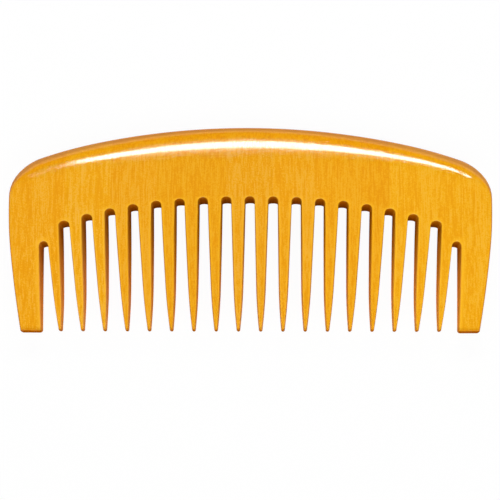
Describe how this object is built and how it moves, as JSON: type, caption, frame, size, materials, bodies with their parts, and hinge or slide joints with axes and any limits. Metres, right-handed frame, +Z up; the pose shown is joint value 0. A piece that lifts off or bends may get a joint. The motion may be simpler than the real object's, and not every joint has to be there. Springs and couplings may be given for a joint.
{
  "type": "wide-tooth comb",
  "caption": "Wooden wide-tooth hand comb with an arched round spine, tapered round-tipped teeth and broad end teeth, modelled as edge-glued staves.",
  "frame": {"origin": "centre of the comb's box on the plane that its flat back face lies on", "axes": "+X along the comb's length, +Y from the tooth tips to the spine, +Z up out of the front face"},
  "size_m": [0.17, 0.0738, 0.012],
  "materials": {
    "left_end_stave": "clear gloss lacquer over fine straight grain",
    "stave_2": "clear gloss lacquer over fine straight grain",
    "stave_3": "clear gloss lacquer over fine straight grain",
    "stave_4": "clear gloss lacquer over fine straight grain",
    "stave_5": "clear gloss lacquer over fine straight grain",
    "stave_6": "clear gloss lacquer over fine straight grain",
    "stave_7": "clear gloss lacquer over fine straight grain",
    "right_end_stave": "clear gloss lacquer over fine straight grain"
  },
  "bodies": {
    "root": {"left_end_stave": "left_end_stave", "stave_2": "stave_2", "stave_3": "stave_3", "stave_4": "stave_4", "stave_5": "stave_5", "stave_6": "stave_6", "stave_7": "stave_7", "right_end_stave": "right_end_stave"}
  },
  "joints": []
}
